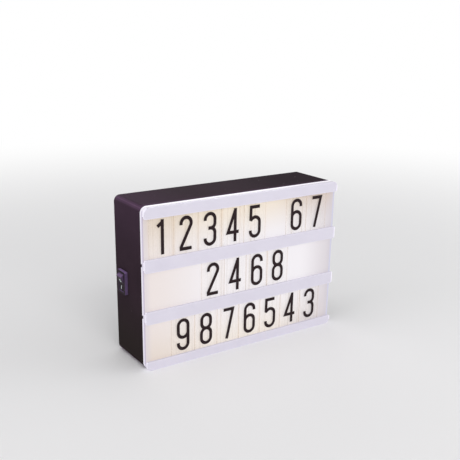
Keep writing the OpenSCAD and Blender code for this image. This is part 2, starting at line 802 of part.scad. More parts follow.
module wire_red() {
    color("#c2352f") wire([
        [tag_end, tag_y, cell_z(1)],
        [tag_end + wire_turn, tag_y, cell_z(1)],
        [tag_end + wire_turn, tag_y, red_rise],
        [blade_end + wire_d, tag_y, red_rise],
        [blade_end + wire_d, tag_y, switch_z],
        [blade_end, tag_y, switch_z]]);
}

module wire_black() {
    color("#222222") wire([
        [-tag_end, tag_y, cell_z(cell_count)],
        [-tag_end - wire_turn, tag_y, cell_z(cell_count)],
        [-tag_end - wire_turn, black_y, cell_z(cell_count)],
        [wire_x, black_y, cell_z(cell_count)],
        [wire_x, black_y, minus_z],
        [wire_x, y_board - solder, minus_z]]);
}

module wire_switch() {
    color("#e8e6e0") wire([
        [blade_end, switch_y, reed_z],
        [wire_x, switch_y, reed_z],
        [wire_x, switch_y, plus_z],
        [wire_x, y_board - solder, plus_z]]);
}

// ---- screws --------------------------------------------------------------------------------

// A cross-headed screw whose head rests on the plane y and whose shank runs towards dir
module screw(y, dir, d, l, head_d, head_t) {
    cross_w = head_d / 6;
    cross_l = head_d * 0.6;
    difference() {
        union() {
            rod_y(0, 0, head_d, min(y, y - dir * head_t), max(y, y - dir * head_t));
            rod_y(0, 0, d, min(y - dir * head_t / 2, y + dir * l), max(y - dir * head_t / 2, y + dir * l));
        }
        for (turn = [0, 90]) translate([0, y - dir * head_t, 0]) rotate([0, turn, 0])
            cube([cross_l, head_t, cross_w], center = true);
    }
}

module casing_screws() {
    color("#8f8f94") at_screws()
        screw(y_seam + tube_back + tube_floor, -1, screw_d, screw_l, screw_head_d, screw_head_t);
}

module board_screws() {
    color("#8f8f94") at_posts()
        screw(y_board, 1, board_screw_d, board_screw_l, board_head_d, board_head_t);
}

// ---- what is drawn -------------------------------------------------------------------------

rear_casing();
front_plate();
rail_top();
rail_upper();
rail_lower();
rail_bottom();
for (i = [1:len(top_tiles)])
    top_tile(i);
for (i = [1:middle_count])
    tile(1, middle_start, i);
for (i = [1:bottom_count])
    tile(0, bottom_start, i);
battery_door();
for (i = [1:cell_count])
    battery(i);
contact_springs();
contact_plates();
switch_housing();
switch_rocker();
switch_contact();
switch_terminals();
led_board();
leds();
resistors();
reflector();
wire_red();
wire_black();
wire_switch();
casing_screws();
board_screws();
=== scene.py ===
# %% [markdown]
# # A small cinema light box
# The box is a black plastic tray with a lit opal plate in front. Clear tiles with printed digits
# stand between white rails. The solid pieces come ready made from the packed model, at their real
# size and place. This lesson gives them their finish and adds the small things that are too thin
# or too fine for a solid model: the printed digits, the marks on the switch, coiled springs,
# solder.

# %% The frame
import math

import bmesh
import bpy
from mathutils import Matrix, Vector
from mathutils.geometry import delaunay_2d_cdt


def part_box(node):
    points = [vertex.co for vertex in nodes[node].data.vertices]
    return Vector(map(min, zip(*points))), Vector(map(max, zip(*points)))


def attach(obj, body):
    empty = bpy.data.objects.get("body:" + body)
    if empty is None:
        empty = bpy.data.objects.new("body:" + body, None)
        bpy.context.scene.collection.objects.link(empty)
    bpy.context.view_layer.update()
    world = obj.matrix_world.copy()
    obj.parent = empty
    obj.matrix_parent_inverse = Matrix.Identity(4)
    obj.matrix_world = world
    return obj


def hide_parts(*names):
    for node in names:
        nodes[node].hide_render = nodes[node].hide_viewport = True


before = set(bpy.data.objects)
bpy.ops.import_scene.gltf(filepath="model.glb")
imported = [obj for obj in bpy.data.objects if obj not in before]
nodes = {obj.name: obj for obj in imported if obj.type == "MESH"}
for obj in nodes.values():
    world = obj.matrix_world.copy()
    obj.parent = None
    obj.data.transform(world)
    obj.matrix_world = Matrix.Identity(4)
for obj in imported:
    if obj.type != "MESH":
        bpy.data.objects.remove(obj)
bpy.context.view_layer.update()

MM = 0.001

# %% [markdown]
# ## The camera
# The photograph looks at the box from its left front and a little from above. A camera could be
# set by eye, but then every shape would be judged from a slightly wrong side. Here its place,
# turn and lens were worked out from the box's corners and the edges of its rails. A picture that
# was cut out of a larger one has its optical centre off the middle, and the camera's shift says
# by how much.

# %% Camera
IMAGE_SIDE = 460
FOCAL_PX = 723.0
CENTRE_PX = (215, 262)
SENSOR = 36
NEAREST = 0.01
scene = bpy.context.scene


def new_object(name, data):
    """Wraps a mesh, lamp or camera in an object and puts it in the scene."""
    thing = bpy.data.objects.new(name, data)
    scene.collection.objects.link(thing)
    return thing


view = bpy.data.cameras.new("photo_view")
view.sensor_width = SENSOR
view.lens = FOCAL_PX / IMAGE_SIDE * SENSOR
view.shift_x = (IMAGE_SIDE / 2 - CENTRE_PX[0]) / IMAGE_SIDE
view.shift_y = (CENTRE_PX[1] - IMAGE_SIDE / 2) / IMAGE_SIDE
view.clip_start = NEAREST
camera = new_object("photo_camera", view)
camera.location = (-0.25957, -0.38005, 0.20599)
camera.rotation_euler = [math.radians(a) for a in (71.623, -0.503, -32.929)]
bpy.context.scene.camera = camera
print("lens", round(view.lens, 2), "mm, shift", round(view.shift_x, 3), round(view.shift_y, 3))

# %% [markdown]
# ## The studio
# A pale floor carries the box and takes its shadow. Five large, soft lamps light it: a key in
# front, a weaker fill from the right, and faint ones on the switch's side, overhead and behind.
# One small lamp would be simpler, but it draws hard shadows and a glaring spot on each edge. The
# strengths are set so that a colour comes out about as it is written.

# %% Floor
FLOOR_HALF = 4.0
scene.view_settings.view_transform = "Standard"

plane = bpy.data.meshes.new("floor")
plane.from_pydata([(-FLOOR_HALF, -FLOOR_HALF, 0), (FLOOR_HALF, -FLOOR_HALF, 0),
                   (FLOOR_HALF, FLOOR_HALF, 0), (-FLOOR_HALF, FLOOR_HALF, 0)], [], [(0, 1, 2, 3)])
plane.update()
floor = new_object("floor", plane)
print("a floor", 2 * FLOOR_HALF, "m wide")

# %% Lamps
LAMPS_FACE = Vector((0, 0, 0.05))
LAMPS = {  # place in metres, side of the square in metres, watts, colour
    "key": ((-0.2, -1.05, 0.8), 0.6, 4.5, (1.0, 0.99, 0.98)),
    "fill": ((1.0, -0.5, 0.5), 0.8, 2.6, (0.97, 0.97, 1.0)),
    "side": ((-1.1, -0.1, 0.7), 0.8, 2.4, (1.0, 0.96, 1.0)),
    "top": ((0.0, 0.1, 1.1), 0.9, 1.0, (1, 1, 1)),
    "back": ((0.5, 1.2, 0.6), 0.9, 1.8, (1, 1, 1)),
}

for name, (place, size, watts, colour) in LAMPS.items():
    light = bpy.data.lights.new(name, "AREA")
    light.size = size
    light.energy = watts
    light.color = colour
    lamp = new_object(name, light)
    lamp.location = place
    lamp.rotation_euler = (Vector(place) - LAMPS_FACE).to_track_quat("Z", "Y").to_euler()
    print("the", name, "lamp gives", watts, "W")

# %% [markdown]
# ## Shader sums
# A material is a net of nodes. It can be wired by hand in the shader editor, but a long sum is
# easier to read as a sum. A `Value` wraps one output of a node, and each operator on it adds the
# Math node that does the sum. When the left side is a plain number, Python asks the right side,
# so every operator has a reflected form, and `1 - mask` works as well as `mask - 1`.

# %% Value
class Value:
    """An output of a shader node that can be used in sums."""

    def __init__(self, net, socket):
        self.net = net
        self.socket = socket

    def sum_of(self, operation, a, b):
        return self.net.add("ShaderNodeMath", {0: a, 1: b}, operation=operation)

    def __add__(self, other): return self.sum_of("ADD", self, other)
    def __radd__(self, other): return self.sum_of("ADD", other, self)
    def __sub__(self, other): return self.sum_of("SUBTRACT", self, other)
    def __rsub__(self, other): return self.sum_of("SUBTRACT", other, self)
    def __mul__(self, other): return self.sum_of("MULTIPLY", self, other)
    def __rmul__(self, other): return self.sum_of("MULTIPLY", other, self)
    def __truediv__(self, other): return self.sum_of("DIVIDE", self, other)
    def __rtruediv__(self, other): return self.sum_of("DIVIDE", other, self)
    def __pow__(self, other): return self.sum_of("POWER", self, other)
    def __rpow__(self, other): return self.sum_of("POWER", other, self)
    def __lt__(self, other): return self.sum_of("LESS_THAN", self, other)
    def __gt__(self, other): return self.sum_of("GREATER_THAN", self, other)
    def __abs__(self): return self.sum_of("ABSOLUTE", self, 0)
    def larger(self, other): return self.sum_of("MAXIMUM", self, other)


print("reflected forms:", ", ".join(word for word in vars(Value) if word.startswith("__r")))

# %% [markdown]
# ## Nodes and colours
# `Nodes` holds the node tree of one material or of the world. Its `add` makes any node from its
# type, its settings, which are set first, and the values or links of its sockets. Ramps, mixes
# and coats are built on it, because nearly every finish here is a colour under a few thin coats,
# each laid where a soft ramp allows it. A ColorRamp node could do the same, but its stops are
# hard to read in a script. Colours are picked on a screen, and `from_srgb` turns them into the
# light that shaders count in.

# %% Nodes
COLOUR_A, COLOUR_B, COLOUR_OUT = 6, 7, 2  # sockets of a Mix node that is set to colours


def opaque(colour):
    """A Value as it is, or three light values with the 1 that a colour socket needs."""
    return colour if isinstance(colour, Value) else (*colour, 1)


class Nodes:
    """The net of one material or of the world, with short ways to add to it."""

    def __init__(self, owner):
        self.owner = owner
        owner.use_nodes = True
        self.tree = owner.node_tree
        self.tree.nodes.clear()

    def add(self, kind, inputs=None, output=0, **settings):
        """A node of any kind; inputs gives a number, colour or Value for each socket's key."""
        node = self.tree.nodes.new(kind)
        for key, setting in settings.items():
            setattr(node, key, setting)
        for key, given in (inputs or {}).items():
            if isinstance(given, Value):
                self.tree.links.new(given.socket, node.inputs[key])
            else:
                node.inputs[key].default_value = given
        return Value(self, node.outputs[output]) if node.outputs else None

    def split(self, vector):
        """The X, Y and Z of a vector, as three Values."""
        parts = self.add("ShaderNodeSeparateXYZ", {0: vector}).socket.node.outputs
        return [Value(self, part) for part in parts]

    def ramp(self, x, start, stop):
        """0 before start, 1 past stop, smooth in between; start may be the larger one."""
        return self.add("ShaderNodeMapRange", {"Value": x, "From Min": start, "From Max": stop},
                        interpolation_type="SMOOTHSTEP")

    def within(self, x, low, high, soft):
        """1 between low and high, with soft ends that lie just past them."""
        return self.ramp(x, low, low + soft) * (1 - self.ramp(x, high, high + soft))

    def mix(self, share, a, b):
        """Colour a where share is 0 and colour b where it is 1 or more."""
        return self.add("ShaderNodeMix", {0: share, COLOUR_A: opaque(a), COLOUR_B: opaque(b)},
                        output=COLOUR_OUT, data_type="RGBA")

    def coats(self, colour, *coats):
        """Lays coats over a colour; each is a share and the colour that it brings."""
        for share, tint in coats:
            colour = self.mix(share, colour, tint)
        return colour


def from_srgb(r, g, b):
    """A colour as picked on a screen, from 0 to 255, by the sRGB curve."""
    shares = [c / 255 for c in (r, g, b)]
    return tuple(c / 12.92 if c <= 0.04 else ((c + 0.055) / 1.055) ** 2.4 for c in shares)


def shaded(tint, *factors):
    """A lighter or darker tint, by one factor or by one for each of red, green and blue."""
    factors = factors if len(factors) == 3 else factors * 3
    return [c * factor for c, factor in zip(tint, factors)]


print("mid grey 188 is", round(from_srgb(188, 188, 188)[0], 3), "in light values")

# %% [markdown]
# ## Patterns
# A finish varies from place to place. An image could carry that, but it would need a flat map of
# each piece and would blur close up. Patterns that are worked out from the point itself stay
# sharp at any distance: noise for grain and clouds, cells for specks of dust, and the direction
# in which the surface looks for edges. On a flat side that direction follows one axis, and over
# an edge it turns from one axis to the next.

# %% Finish
MOST = (0.35, 0.65)  # most of a noise's values lie between these


class Finish(Nodes):
    """The nodes of one material, with the patterns that a surface is made of."""

    def __init__(self, name):
        super().__init__(bpy.data.materials.new(name))

    def where(self):
        """The point on the box, in metres."""
        return self.add("ShaderNodeTexCoord", output="Object")

    def place(self):
        """The point's X, Y and Z on the box, in millimetres."""
        return [part / MM for part in self.split(self.where())]

    def share(self):
        """The point's X, Y and Z as shares of the piece's own size, from 0 to 1."""
        return self.split(self.add("ShaderNodeTexCoord", output="Generated"))

    def directions(self):
        """The X, Y and Z of the direction in which the surface looks."""
        return self.split(self.add("ShaderNodeNewGeometry", output="Normal"))

    def edges(self):
        """0 on sides that follow an axis, and about 0.3 halfway round an edge between two."""
        x, y, z = [abs(part) for part in self.directions()]
        return 1 - x.larger(y).larger(z)

    def noise(self, per_mm, detail=3.0, rough=0.5, drawn=(1, 1, 1)):
        """Noise with per_mm bumps to the millimetre, drawn out along axes with small numbers."""
        spot = self.add("ShaderNodeVectorMath", {0: self.where(), 1: drawn}, operation="MULTIPLY")
        return self.add("ShaderNodeTexNoise", {"Vector": spot, "Scale": per_mm / MM,
                                               "Detail": detail, "Roughness": rough})

    def specks(self, pitch, radius, share):
        """1 in small round specks; of the places a pitch apart, in mm, a share has one."""
        cells = {"Vector": self.where(), "Scale": 1 / (pitch * MM)}
        spots = self.add("ShaderNodeTexVoronoi", cells)
        own_colour = Value(self, spots.socket.node.outputs["Color"])
        chance = self.add("ShaderNodeSeparateColor", {0: own_colour})
        return (1 - self.ramp(spots * pitch, radius, radius * 2)) * (chance < share)

    def bump(self, height, depth_mm):
        """A normal from a height map whose full step is depth_mm."""
        return self.add("ShaderNodeBump", {"Height": height, "Distance": depth_mm * MM,
                                           "Strength": 1.0})

    def surface(self, colour, roughness, **more):
        """Ends the material in a Principled surface; more is given by socket name."""
        inputs = {"Base Color": opaque(colour), "Roughness": roughness}
        inputs.update({key.replace("_", " "): given for key, given in more.items()})
        shader = self.add("ShaderNodeBsdfPrincipled", inputs)
        self.add("ShaderNodeOutputMaterial", {"Surface": shader})
        return self.owner


print("patterns:", ", ".join(word for word in vars(Finish) if not word.startswith("_")))

# %% [markdown]
# ## Floor and sky
# Light Path tells which kind of ray asks for a colour. Camera, gloss and see-through rays are
# shown a plain white world, and the rays that carry light are given a dimmer one. A stronger lamp
# would also whiten the floor, but it would bleach the box. Away from the box the floor fades into
# the same white, so that no horizon shows, while close to the box it keeps the shadow.

# %% Floor and sky
WORLD_LIGHT = 0.5
FADE = (0.22, 0.9)  # metres from the middle of the floor
PAPER = (0.87, 0.87, 0.875, 1)
WHITE = (1, 1, 1, 1)


def seen_rays(net):
    """1 for rays that show things to the eye, 0 for rays that only carry light."""
    seen = net.add("ShaderNodeLightPath", output="Is Camera Ray")
    paths = seen.socket.node.outputs
    for name in ("Is Glossy Ray", "Is Transmission Ray"):
        seen = seen.larger(Value(net, paths[name]))
    return seen


paper = Finish("floor_paper")
away = paper.add("ShaderNodeVectorMath", {0: paper.where()}, output="Value", operation="LENGTH")
fade = paper.ramp(away, *FADE) * seen_rays(paper)
matt = paper.add("ShaderNodeBsdfPrincipled", {"Base Color": PAPER, "Roughness": 0.9})
blank = paper.add("ShaderNodeEmission", {"Color": WHITE, "Strength": 1.0})
faded = paper.add("ShaderNodeMixShader", {0: fade, 1: matt, 2: blank})
paper.add("ShaderNodeOutputMaterial", {"Surface": faded})
floor.data.materials.append(paper.owner)

scene.world = bpy.data.worlds.new("studio")
sky = Nodes(scene.world)
dim, full = [sky.add("ShaderNodeBackground", {"Color": WHITE, "Strength": strength})
             for strength in (WORLD_LIGHT, 1.0)]
either = sky.add("ShaderNodeMixShader", {0: seen_rays(sky), 1: dim, 2: full})
sky.add("ShaderNodeOutputWorld", {"Surface": either})
print("the world gives", WORLD_LIGHT, "of its full light")

# %% [markdown]
# ## Black plastic
# The tray and the battery door are moulded in black plastic with a fine spark-eroded grain. Seen
# close it is a dark warm grey with a slight purple cast, neither glossy nor dull. A plain dark
# colour would look like a hole in the picture, so the tone is built up in coats. A broad noise
# makes the uneven shine that handling leaves, and a fine one the grain.
#
# Light and shade are also painted into the colour. The far end of the top and the foot of the
# upright sides are painted browner and darker, a painted shade. On top near the lit plate and
# towards the switch the plastic is painted more violet, and the upper part of the sides paler,
# both painted light. The edges and rounded corners are painted a paler violet, a painted
# highlight, with a thin brighter line on the sharpest turn, a painted glint. A few specks of dust
# sit in the grain.

# %% Black plastic
CASING_TINT, DOOR_TINT = from_srgb(55, 43, 51), from_srgb(53, 41, 49)
DUST_TINT = from_srgb(150, 144, 150)
# Factors of the tint for the painted violet light, for the painted shade at the foot and at the
# far end of the top, and for the painted glint.
LIT_VIOLET, FOOT_SHADE, FAR_SHADE, GLINT_BRIGHTER = (2.5, 2.25, 2.875), (0.78, 0.95, 0.68), 0.64, 1.8
CLOUD_DARKER, CLOUD_PALER = 0.93, 1.07
# Spans in mm for the painted violet light near the plate, towards the switch and on the upper
# sides, and for the painted shade at the far end and at the foot.
NEAR_PLATE, PLATE_SHARE = (-10, -14), 0.5  # mm along Y
NEAR_SWITCH, SWITCH_SHARE = (-25, -74), 0.32  # mm along X
FAR_END = (-5, 45)  # mm along X
HEAD, HEAD_SHARE = (55, 110), 0.35  # mm along Z
FOOT = (5, 55)  # mm along Z
LOOKS_UP = (0.5, 0.9)
# Turns of the surface where the painted edge highlight and the painted glint lie, and how much
# the highlight varies.
HIGHLIGHT_TURN, GLINT_TURN = (0.01, 0.16), (0.2, 0.28)
HIGHLIGHT_LEAST, HIGHLIGHT_SPREAD = 0.7, 0.6
DUST_PITCH, DUST_R, DUST_CHANCE, DUST_SHARE = 7.0, 0.28, 0.4, 0.45
CLOUD_DULLS, GRAIN_DULLS, DUST_DULLS, EDGE_GLOSSIER = 0.16, 0.1, 0.2, 0.2
GRAIN_DEPTH = 0.02
SHINE = 0.002
VIOLET_GLOSS = (1.0, 0.86, 0.97, 1)


def black_plastic(name, tint, dullness):
    """Grained black plastic; dullness is the roughness that its skin has on average."""
    skin = Finish(name)
    x, y, z = skin.place()
    cloud = skin.noise(0.05, 4)
    grain = skin.noise(4.0, 2, 0.6)
    dust = skin.specks(DUST_PITCH, DUST_R, DUST_CHANCE)
    top = skin.ramp(skin.directions()[2], *LOOKS_UP)
    # Painted shade: darker at the far end of the top, browner and darker at the foot of the
    # sides.
    shaded_far_end = skin.ramp(x, *FAR_END) * top
    foot = (1 - skin.ramp(z, *FOOT)) * (1 - top)
    # Painted light: paler violet on the upper sides, and on top near the plate and towards the
    # switch.
    lit_head = skin.ramp(z, *HEAD) * HEAD_SHARE * (1 - top)
    plate_light_spill = skin.ramp(y, *NEAR_PLATE) * PLATE_SHARE
    switch_side_light = skin.ramp(x, *NEAR_SWITCH) * SWITCH_SHARE
    turn = skin.edges()
    # Painted highlight: a paler violet over edges and rounded corners.
    painted_edge_highlight = skin.ramp(turn, *HIGHLIGHT_TURN) * (cloud * HIGHLIGHT_SPREAD + HIGHLIGHT_LEAST)
    # Painted glint: a brighter violet line on the sharpest turn of an edge.
    painted_glint = skin.ramp(turn, *GLINT_TURN) * cloud
    violet = shaded(tint, *LIT_VIOLET)
    colour = skin.coats(shaded(tint, CLOUD_DARKER),
                        (skin.ramp(cloud, *MOST), shaded(tint, CLOUD_PALER)),
                        (shaded_far_end, shaded(tint, FAR_SHADE)), (foot, shaded(tint, *FOOT_SHADE)),
                        ((plate_light_spill + switch_side_light) * top + lit_head, violet),
                        (painted_edge_highlight, violet), (painted_glint, shaded(violet, GLINT_BRIGHTER)),
                        (dust * DUST_SHARE, DUST_TINT))
    roughness = ((cloud - 0.5) * CLOUD_DULLS + (grain - 0.5) * GRAIN_DULLS + dust * DUST_DULLS
                 + dullness - painted_edge_highlight * EDGE_GLOSSIER)
    return skin.surface(colour, roughness, Normal=skin.bump(grain, GRAIN_DEPTH), IOR=1.5,
                        Specular_IOR_Level=SHINE, Specular_Tint=VIOLET_GLOSS)


casing_finish = black_plastic("casing_plastic", CASING_TINT, 0.46)
door_finish = black_plastic("door_plastic", DOOR_TINT, 0.48)
print("the casing's material has", len(casing_finish.node_tree.nodes), "nodes")

# %% [markdown]
# ## The lit plate
# The plate is opal plastic with lights behind it. The light is strongest in front of the light
# board, at half the height, and turns creamy towards the top and bottom and a cool grey at both
# sides. Real lamps inside a scattering solid could make this glow, but slowly and with much
# noise. So the plate glows by emission, in a colour that follows the place on the plate. Its base
# colour is kept darker than white, so that lamp light and glow together make the white.

# %% Plate's glow
HALF_WIDTH = 74.0
MID_HEIGHT = 50.0
LAMP_PART = 0.2
LEFT_FADE, RIGHT_FADE, TO_RIGHT = (0.2, 1.0), (0.6, 1.0), (0.2, 0.8)  # shares of the half width
SIDE_STRIP, STRIP_SHARE = (0.92, 1.0), 0.7
HIGH, LOW, LOW_SHARE = (0.42, 1.0), (0.3, 1.0), 0.6  # shares of the half height
LOW_LEAST, LOW_SPREAD = 0.8, 0.4


def lit(r, g, b):
    """The glow that, with the lamps' part added, gives a colour as picked on a screen."""
    return tuple(max(c - LAMP_PART, 0) for c in from_srgb(r, g, b))


opal = Finish("opal_plate")
x, y, z = opal.place()
across = x / HALF_WIDTH
up = (z - MID_HEIGHT) / MID_HEIGHT
is_left = across < 0
far_left, far_right = opal.ramp(across * -1, *LEFT_FADE), opal.ramp(across, *RIGHT_FADE)
high, low = opal.ramp(up, *HIGH), opal.ramp(up * -1, *LOW) * LOW_SHARE
cloudy = opal.noise(0.03, 2) * LOW_SPREAD + LOW_LEAST

cream_left = opal.mix(far_left, lit(234, 223, 205), lit(216, 203, 186))
cream_right = opal.mix(high, lit(205, 198, 198), lit(208, 194, 184))
cream = opal.mix(opal.ramp(across, *TO_RIGHT), cream_left, cream_right)
sides_glow = opal.mix(is_left, lit(201, 197, 205), lit(212, 207, 212))
plate_glow = opal.coats(lit(236, 234, 237), (far_left, lit(229, 221, 217)),
                        (far_right, lit(212, 208, 212)), (high + low * cloudy, cream),
                        (opal.ramp(abs(across), *SIDE_STRIP) * STRIP_SHARE, sides_glow))
print("the lamps add", LAMP_PART, "to the plate's glow")

# %% [markdown]
# The plate's rim stands in front of the tray. It catches light from behind the plate and is a
# cool bright white all round. Where it turns into the front face there is a fine line, violet at
# the left and wider and pale blue at the right. The line could be a thin piece of its own, but it
# is only a change of tone, so it is drawn by place.

# %% Plate's rim
FRONT, RIM_FRONT = (-17.1, -17.45), (-16.2, -16.7)  # mm along Y
RIGHT_LINE, LEFT_LINE, LINE_SHARE = (72.4, 73.0), (-73.35, -73.65), 0.6  # mm along X

line = (opal.ramp(x, *RIGHT_LINE) + opal.ramp(x, *LEFT_LINE)) * opal.ramp(y, *RIM_FRONT)
line_glow = opal.mix(is_left, lit(200, 205, 230), lit(174, 166, 194))
plate_glow = opal.mix(opal.ramp(y, *FRONT), lit(231, 228, 239), plate_glow)
plate_glow = opal.mix(line * LINE_SHARE, plate_glow, line_glow)
plate_finish = opal.surface(from_srgb(140, 136, 138), 0.35, Emission_Color=plate_glow,
                            Emission_Strength=1.0, IOR=1.49)
print("the plate's material has", len(plate_finish.node_tree.nodes), "nodes")

# %% [markdown]
# ## The rails
# The rails are a cooler, glossy white. Light from the plate gets into the thin lips and comes out
# at their edges. A scattering material would do this by itself, at the cost of a slow render, and
# a soft glow that is given by place looks the same here. Each rail is slightly brighter along its
# two lips and clearly brighter at its ends and, near the ends, on its rounded edges. The lowest
# edge also glows along the right half. What looks upwards is painted a darker violet grey, a
# painted shade.

# %% Rails
LIP, LIP_GLOW = 0.9, 0.2143  # mm, and the lips' share of the glow
CORNER = 8  # mm
RIM = (HALF_WIDTH - 0.7, HALF_WIDTH - 0.3)
LOOKS_LEFT = (0.3, 0.8)
LEFT_RIM = 0.3
ROUNDED = (0.03, 0.15)
UNDERSIDE, UNDER_RIGHT = (0.5, 1.5), (10, 60)  # mm along Z and X
# Painted shade on faces that look upwards: how far up they look, and its share.
SHADED_UPWARDS, RAIL_SHADE = (0.2, 0.9), 0.8
RAILS = ("rail_top", "rail_upper", "rail_lower", "rail_bottom")


def rail_finish(name, low, high):
    """White rail plastic whose edges, at heights low and high in mm, glow a little."""
    skin = Finish(name)
    x, _, z = skin.place()
    nx, _, nz = skin.directions()
    cloud = skin.noise(0.08, 3)
    colour = skin.mix(cloud, from_srgb(222, 218, 232), from_srgb(231, 227, 240))
    # Painted shade: faces that look upwards are a darker violet grey.
    colour = skin.mix(skin.ramp(nz, *SHADED_UPWARDS) * RAIL_SHADE, colour, from_srgb(196, 192, 206))
    lips = 1 - skin.ramp(z, low, low + LIP) + skin.ramp(z, high - LIP, high)
    left_end = skin.ramp(nx * -1, *LOOKS_LEFT)
    ends = skin.ramp(x, HALF_WIDTH - LIP, HALF_WIDTH) + left_end
    rounded = skin.ramp(skin.edges(), *ROUNDED)
    corners = skin.ramp(abs(x), HALF_WIDTH - CORNER, HALF_WIDTH)
    under = (1 - skin.ramp(z, *UNDERSIDE)) * skin.ramp(x, *UNDER_RIGHT)
    rim = skin.ramp(x, *RIM) + left_end * LEFT_RIM + rounded * (corners + under)
    edge = lips * LIP_GLOW + ends * (1 + rounded)
    glow = skin.coats(from_srgb(22, 21, 26), (edge, from_srgb(122, 120, 127)),
                      (rim, from_srgb(158, 156, 164)))
    return skin.surface(colour, (cloud - 0.5) * 0.1 + 0.24, Emission_Color=glow,
                        Emission_Strength=1.0, IOR=1.49)


for rail in RAILS:
    low, high = [corner.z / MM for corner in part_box(rail)]
    nodes[rail].material_slots[0].material = rail_finish(rail + "_plastic", low, high)
    print(rail, "from", round(low, 1), "to", round(high, 1), "mm high")

# %% [markdown]
# ## Clear tiles
# A tile is a strip of clear film. It hardly shows except by its shine, by faint warm upright
# streaks, and by its cut edges, which catch light and look warm. Glass with real refraction would
# bend the view of the plate, which thin film hardly does. Alpha is enough: almost clear on the
# faces, denser in the streaks and at the cuts. Generated coordinates run from 0 to 1 over each
# tile, so one material serves all of them.

# %% Clear tiles
CUT, STREAK = (0.484, 0.498), (0.46, 0.78)
ALPHA, CUT_ALPHA, STREAK_ALPHA = 0.06, 0.2, 0.1

film = Finish("clear_film")
cut = film.ramp(abs(film.share()[0] - 0.5), *CUT)
streak = film.ramp(film.noise(0.5, 2, drawn=(1, 0, 0.01)), *STREAK)
tint = film.coats(from_srgb(250, 244, 232), (streak, from_srgb(224, 204, 178)),
                  (cut, from_srgb(226, 200, 170)))
alpha = cut * CUT_ALPHA + streak * STREAK_ALPHA + ALPHA
tile_finish = film.surface(tint, 0.12, Alpha=alpha, IOR=1.45)

tiles = sorted(name for name in nodes if name.startswith("tile_"))
for name in tiles:
    nodes[name].material_slots[0].material = tile_finish
print(len(tiles), "tiles")

# %% [markdown]
# ## Digits
# The digits are condensed, with round tops and an even stroke. A text object in a ready font
# would be quick, but its strokes would have another width and shape. So each digit is written as
# the line that the middle of a pen would follow, in millimetres from the digit's middle, and a
# ribbon as wide as the pen is laid along it. That keeps the shapes sharp at any size.

# %% Pen lines of the digits
PEN = 2.2  # mm, as all lengths of the digits
SIDE = 3.55
TOP = 9.75
CAP = TOP - SIDE
END = TOP + PEN / 2


def bow(cx, cz, radius, start, stop, steps=12):
    """Points along an arc, with angles in degrees from the right."""
    angles = [math.radians(start + (stop - start) * i / steps) for i in range(steps + 1)]
    return [(cx + radius * math.cos(a), cz + radius * math.sin(a)) for a in angles]


def turned(lines):
    """The same pen lines turned upside down."""
    return [([(-px, -pz) for px, pz in line], closed) for line, closed in lines]


six = [([(SIDE, CAP - 0.9), *bow(0, CAP, SIDE, 0, 180), *bow(0, -CAP, SIDE, 180, 360),
         *bow(0, -1.6, SIDE, 0, 174)], False)]
DIGITS = {  # for each digit its lines, and whether a line closes on itself
    "1": [([(-2.6, 6.6), (0.7, TOP - 0.6)], False), ([(0.7, END), (0.7, -END)], False)],
    "2": [([(-SIDE, CAP - 0.9), *bow(0, CAP, SIDE, 180, -24), (-SIDE, -TOP + 1.2), (-SIDE, -TOP),
            (SIDE + 0.3, -TOP)], False)],
    "3": [([(-SIDE, CAP - 0.6), *bow(0, CAP, SIDE, 180, 0),
            *bow(0.55, 3.6, SIDE - 0.55, 0, -90, 6), (-1.2, 3.6 - SIDE + 0.55)], False),
          ([(0.2, 0.6), *bow(0.45, -2.5, SIDE - 0.45, 90, 0, 6), *bow(0, -CAP, SIDE, 0, -180),
            (-SIDE, -CAP + 0.6)], False)],
    "4": [([(1.7, END), (1.7, -END)], False),
          ([(1.5, TOP - 0.3), (-SIDE - 0.2, -4.6), (SIDE + 0.9, -4.6)], False)],
    "5": [([(SIDE, TOP), (-SIDE + 0.3, TOP), (-SIDE + 0.1, 1.1), *bow(0, -0.6, SIDE, 130, 0),
            *bow(0, -CAP, SIDE, 0, -180), (-SIDE, -CAP + 0.6)], False)],
    "6": six,
    "7": [([(-SIDE - 0.2, TOP), (SIDE, TOP), (-1.1, -END)], False)],
    "8": [([*bow(0, CAP + 0.2, SIDE - 0.2, 0, 180), *bow(0, 3.9, SIDE - 0.2, 180, 360)], True),
          ([*bow(0, -3.1, SIDE, 0, 180), *bow(0, -CAP, SIDE, 180, 360)], True)],
    "9": turned(six),
}
print(len(DIGITS), "digits,", 2 * END, "mm tall")

# %% [markdown]
# A ribbon is one flat face along each step of the line, and a mitred corner where the line turns.
# These faces overlap, so they can't simply be put side by side. A Boolean modifier could unite
# them, but it often fails where edges lie on each other. A Delaunay triangulation cuts them along
# each other's edges and says which pieces lie inside at least one of them. Those are inked.

# %% Ribbons
SAME_SPOT = 0.02  # mm between points that count as one
SAME_CORNER = 1e-4  # mm between corners that the cutting joins
SHARP = 0.35  # below this a corner gets no tip


def stroke_faces(line, closed, pen):
    """Flat faces that cover a pen stroke."""
    after = line[1:] + line[:1]
    spots = [Vector(p) for p, q in zip(line, after) if (Vector(p) - Vector(q)).length > SAME_SPOT]
    if not closed and spots[-1] != Vector(line[-1]):
        spots.append(Vector(line[-1]))
    steps = list(zip(spots, spots[1:] + spots[:1] if closed else spots[1:]))
    faces = []
    for start, end in steps:
        side = (end - start).normalized().orthogonal() * pen / 2
        faces.append([start - side, end - side, end + side, start + side])
    for (start, turn), (_, end) in zip(steps, steps[1:] + steps[:1] if closed else steps[1:]):
        into, out = (turn - start).normalized(), (end - turn).normalized()
        outside = -1 if into.cross(out) > 0 else 1
        first, last = [d.orthogonal() * outside * pen / 2 for d in (into, out)]
        spread = 1 + into.dot(out)
        tip = [turn + (first + last) / spread] if spread > SHARP else []
        corner = [turn, turn + first, *tip, turn + last]
        faces.append(corner[::-1] if outside > 0 else corner)
    return faces


